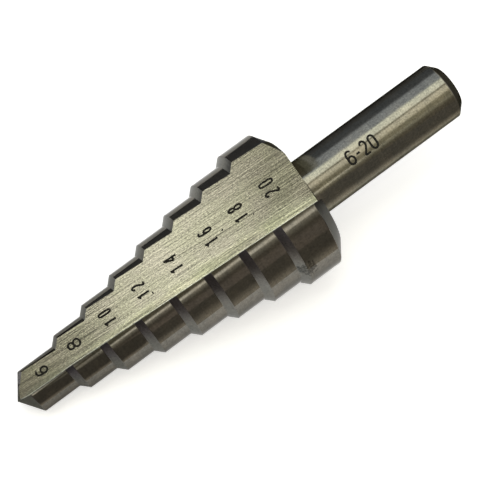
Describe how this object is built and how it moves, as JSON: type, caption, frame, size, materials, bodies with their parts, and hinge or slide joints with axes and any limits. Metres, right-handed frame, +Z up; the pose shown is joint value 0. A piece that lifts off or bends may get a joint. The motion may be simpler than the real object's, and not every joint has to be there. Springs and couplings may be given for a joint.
{
  "type": "step drill",
  "caption": "Step drill for sheet metal: stepped conical cutting body with ground straight flutes, a thinned point and a plain round shank, lying at rest.",
  "frame": {"origin": "middle of the object's outline on the surface it lies on", "axes": "+X towards the shank's end, +Z up; the point lies towards -X and the axis climbs towards the shank"},
  "size_m": [0.0676, 0.02, 0.0177],
  "materials": {
    "tool_steel": "bare ground steel with fine brush lines",
    "marking": "matt black etched marks"
  },
  "bodies": {
    "root": {"step_drill": "tool_steel"}
  },
  "joints": []
}
